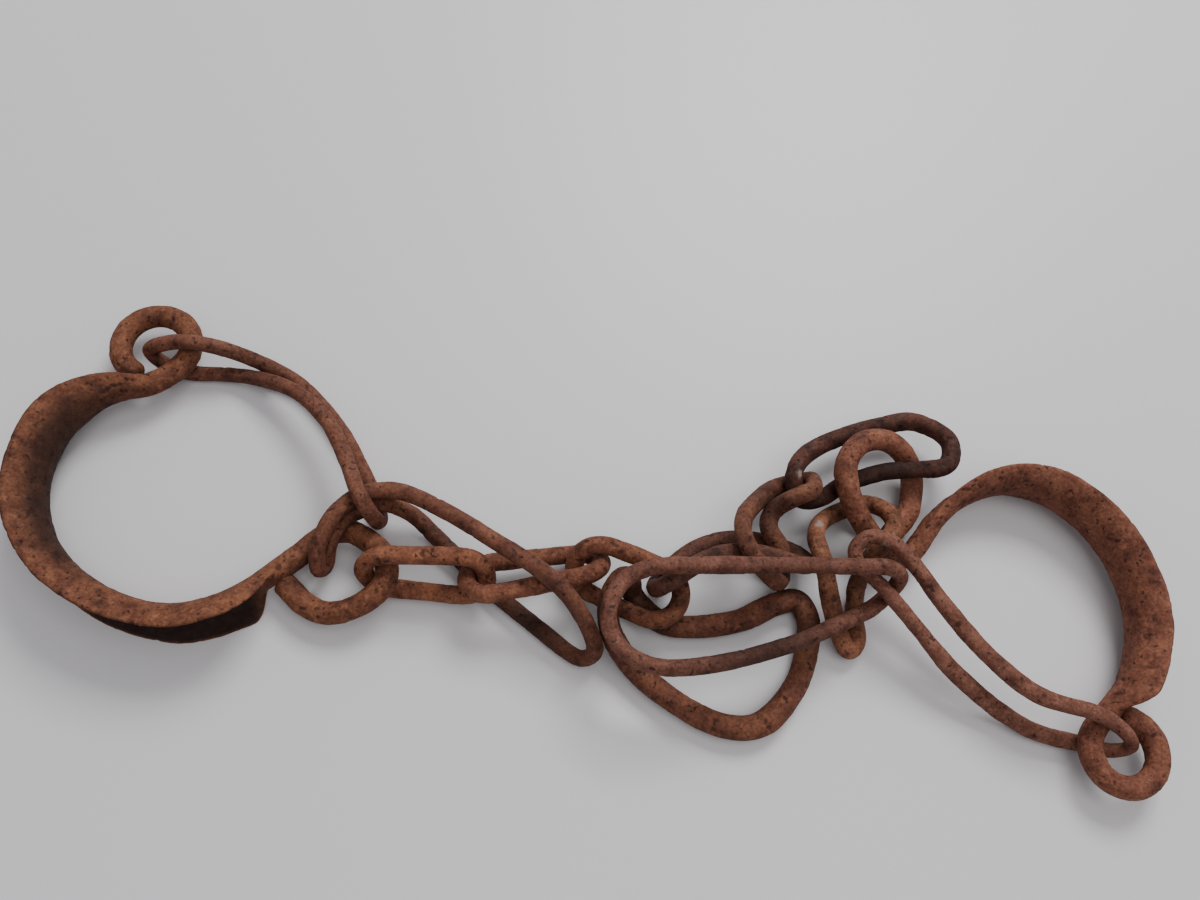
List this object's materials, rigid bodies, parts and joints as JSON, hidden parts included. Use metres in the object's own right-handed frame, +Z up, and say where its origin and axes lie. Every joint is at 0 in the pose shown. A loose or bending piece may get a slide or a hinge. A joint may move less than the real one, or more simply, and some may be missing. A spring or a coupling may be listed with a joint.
{
  "type": "handcuffs",
  "caption": "Hand-forged iron shackles: two open gutter-section cuffs with rolled eyes, hasps, long locking links and a short chain with a large ring.",
  "frame": {"origin": "centre of the whole heap's bounding box, on the floor plane it lies on", "axes": "+X along the spread of the two cuffs, from the left cuff to the right one; +Y from the centre ring towards the left cuff's upper eye; +Z up"},
  "size_m": [0.3903, 0.1698, 0.0311],
  "materials": {
    "centre_ring_iron": "rough brown rust over pitted wrought iron",
    "chain_link_1_iron": "rough brown rust over pitted wrought iron",
    "chain_link_2_iron": "rough brown rust over pitted wrought iron",
    "chain_link_3_iron": "rough brown rust over pitted wrought iron",
    "chain_link_4_iron": "rough brown rust over pitted wrought iron",
    "chain_link_5_iron": "rough brown rust over pitted wrought iron",
    "chain_link_6_iron": "rough brown rust over pitted wrought iron",
    "left_cuff_iron": "rough brown rust over pitted wrought iron",
    "left_hasp_iron": "rough brown rust over pitted wrought iron",
    "left_locking_link_iron": "rough brown rust over pitted wrought iron",
    "right_cuff_iron": "rough brown rust over pitted wrought iron",
    "right_hasp_iron": "rough brown rust over pitted wrought iron",
    "right_locking_link_iron": "rough brown rust over pitted wrought iron",
    "side_link_iron": "rough brown rust over pitted wrought iron"
  },
  "bodies": {
    "centre_ring": {"centre_ring": "centre_ring_iron"},
    "chain_link_1": {"chain_link_1": "chain_link_1_iron"},
    "chain_link_2": {"chain_link_2": "chain_link_2_iron"},
    "chain_link_3": {"chain_link_3": "chain_link_3_iron"},
    "chain_link_4": {"chain_link_4": "chain_link_4_iron"},
    "chain_link_5": {"chain_link_5": "chain_link_5_iron"},
    "chain_link_6": {"chain_link_6": "chain_link_6_iron"},
    "left_cuff": {"left_cuff": "left_cuff_iron"},
    "left_hasp": {"left_hasp": "left_hasp_iron"},
    "left_locking_link": {"left_locking_link": "left_locking_link_iron"},
    "right_cuff": {"right_cuff": "right_cuff_iron"},
    "right_hasp": {"right_hasp": "right_hasp_iron"},
    "right_locking_link": {"right_locking_link": "right_locking_link_iron"},
    "side_link": {"side_link": "side_link_iron"}
  },
  "joints": [
    {"name": "link_2_swing", "type": "hinge", "parent": "chain_link_3", "child": "chain_link_2", "pos_m": [0.0003, -0.0071, 0.0122], "axis": [0, 0, -1], "range_deg": [0, 18]},
    {"name": "link_1_swing", "type": "hinge", "parent": "chain_link_2", "child": "chain_link_1", "pos_m": [-0.0414, -0.0175, 0.016], "axis": [0, 0, -1], "range_deg": [0, 18]},
    {"name": "left_cuff_swing", "type": "hinge", "parent": "chain_link_1", "child": "left_cuff", "pos_m": [-0.0757, -0.0114, 0.0102], "axis": [0, 0, -1], "range_deg": [-2, 3.5]},
    {"name": "left_hasp_roll", "type": "hinge", "parent": "left_cuff", "child": "left_hasp", "pos_m": [-0.1469, 0.0646, 0.0125], "axis": [-0.7035, 0.7035, 0.1009], "range_deg": [-3, 3.5]},
    {"name": "left_locking_link_roll", "type": "hinge", "parent": "chain_link_1", "child": "left_locking_link", "pos_m": [-0.0249, -0.0302, 0.0105], "axis": [0.83, -0.518, 0.207], "range_deg": [-0.5, 2]},
    {"name": "centre_ring_swing", "type": "hinge", "parent": "chain_link_3", "child": "centre_ring", "pos_m": [0.0105, -0.0241, 0.0152], "axis": [0, 0, -1], "range_deg": [0, 4]},
    {"name": "link_4_swing", "type": "hinge", "parent": "chain_link_3", "child": "chain_link_4", "pos_m": [0.0216, -0.011, 0.0164], "axis": [0, 0, 1], "range_deg": [0, 13]},
    {"name": "link_5_swing", "type": "hinge", "parent": "chain_link_4", "child": "chain_link_5", "pos_m": [0.064, -0.0086, 0.0085], "axis": [0, 0, 1], "range_deg": [0, 10]},
    {"name": "link_6_swing", "type": "hinge", "parent": "chain_link_5", "child": "chain_link_6", "pos_m": [0.0738, 0.0185, 0.0159], "axis": [0, 0, 1], "range_deg": [0, 20]},
    {"name": "right_cuff_swing", "type": "hinge", "parent": "chain_link_6", "child": "right_cuff", "pos_m": [0.101, 0.036, 0.014], "axis": [0, 0, 1], "range_deg": [0, 15]},
    {"name": "side_link_swing", "type": "hinge", "parent": "right_cuff", "child": "side_link", "pos_m": [0.0872, 0.0106, 0.0138], "axis": [0, 0, 1], "range_deg": [-3, 1.5]},
    {"name": "right_hasp_swing", "type": "hinge", "parent": "right_cuff", "child": "right_hasp", "pos_m": [0.172, -0.067, 0.0085], "axis": [0, 0, 1], "range_deg": [0, 18]},
    {"name": "right_locking_link_swing", "type": "hinge", "parent": "right_hasp", "child": "right_locking_link", "pos_m": [0.0932, -0.0155, 0.0221], "axis": [0, 0, 1], "range_deg": [0, 34]}
  ]
}
